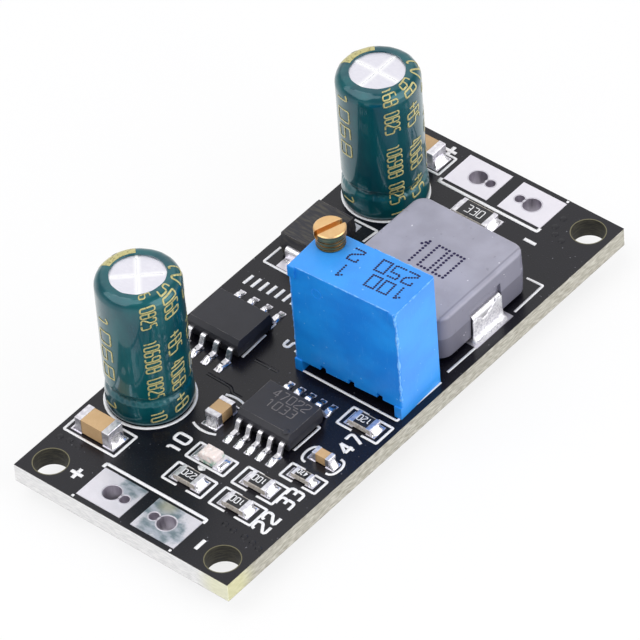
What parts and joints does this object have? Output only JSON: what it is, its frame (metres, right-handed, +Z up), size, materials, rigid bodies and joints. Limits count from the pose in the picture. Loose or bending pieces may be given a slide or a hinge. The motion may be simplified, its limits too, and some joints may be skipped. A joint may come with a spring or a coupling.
{
  "type": "mppt charge controller module",
  "caption": "Small circuit module with standing capacitors, a power inductor, a screw-adjusted trimmer and bare wire pads at each end.",
  "frame": {"origin": "middle of the circuit board's underside", "axes": "+X along the board from the input end to the battery end, +Y towards the side with the standing capacitors, +Z up from the board to its parts"},
  "size_m": [0.045, 0.02, 0.0151],
  "materials": {
    "board": "dark satin solder mask on a glass and resin board",
    "tinned_copper": "bright tinned copper",
    "solder": "bright solder",
    "can_aluminium": "plain drawn aluminium",
    "sleeve": "glossy shrunk sleeve, teal green",
    "bung_rubber": "matt black rubber",
    "tinned_lead": "tinned, satin",
    "chip_end_metal": "tinned, satin",
    "trimmer_blue": "satin blue moulding",
    "sealing_resin": "matt black resin",
    "screw_brass": "turned brass",
    "inductor_powder": "matt grey pressed powder",
    "moulding_black": "matt black moulding",
    "resistor_coat": "dark glass coat",
    "lamp_lens": "milky clear resin",
    "lamp_base": "white",
    "tan_ceramic": "fired tan ceramic",
    "white_ceramic": "fired pale ceramic"
  },
  "bodies": {
    "module": {"battery_capacitor_bung": "bung_rubber", "battery_capacitor_can": "can_aluminium", "battery_capacitor_leads": "tinned_lead", "battery_capacitor_sleeve": "sleeve", "battery_ceramic_body": "tan_ceramic", "battery_ceramic_ends": "chip_end_metal", "battery_negative_pad": "tinned_copper", "battery_positive_pad": "tinned_copper", "circuit_board": "board", "component_lands": "tinned_copper", "controller_body": "moulding_black", "controller_leads": "tinned_lead", "diode_body": "moulding_black", "diode_terminals": "tinned_lead", "divider_resistor_a_body": "white_ceramic", "divider_resistor_a_ends": "chip_end_metal", "divider_resistor_b_body": "white_ceramic", "divider_resistor_b_ends": "chip_end_metal", "feedback_resistor_body": "white_ceramic", "feedback_resistor_ends": "chip_end_metal", "filter_resistor_body": "white_ceramic", "filter_resistor_ends": "chip_end_metal", "inductor_body": "inductor_powder", "inductor_terminals": "tinned_lead", "input_capacitor_bung": "bung_rubber", "input_capacitor_can": "can_aluminium", "input_capacitor_leads": "tinned_lead", "input_capacitor_sleeve": "sleeve", "input_ceramic_body": "tan_ceramic", "input_ceramic_ends": "chip_end_metal", "input_negative_pad": "tinned_copper", "input_positive_pad": "tinned_copper", "lamp_base": "lamp_base", "lamp_lens": "lamp_lens", "lamp_resistor_body": "white_ceramic", "lamp_resistor_ends": "chip_end_metal", "lamp_terminals": "tinned_lead", "lead_rings": "tinned_copper", "loop_ceramic_body": "tan_ceramic", "loop_ceramic_ends": "chip_end_metal", "mosfet_body": "moulding_black", "mosfet_leads": "tinned_lead", "resistor_coats": "resistor_coat", "sense_resistor_body": "white_ceramic", "sense_resistor_ends": "chip_end_metal", "solder_joints": "solder", "supply_ceramic_body": "tan_ceramic", "supply_ceramic_ends": "chip_end_metal", "surface_solder": "solder", "trimmer_base": "sealing_resin", "trimmer_housing": "trimmer_blue", "trimmer_pins": "tinned_lead"},
    "adjuster": {"trimmer_screw": "screw_brass"}
  },
  "joints": [
    {"name": "adjuster_turn", "type": "hinge", "parent": "module", "child": "adjuster", "pos_m": [0.00055, -0.00103, 0.0119], "axis": [0, 0, 1], "continuous": true}
  ]
}
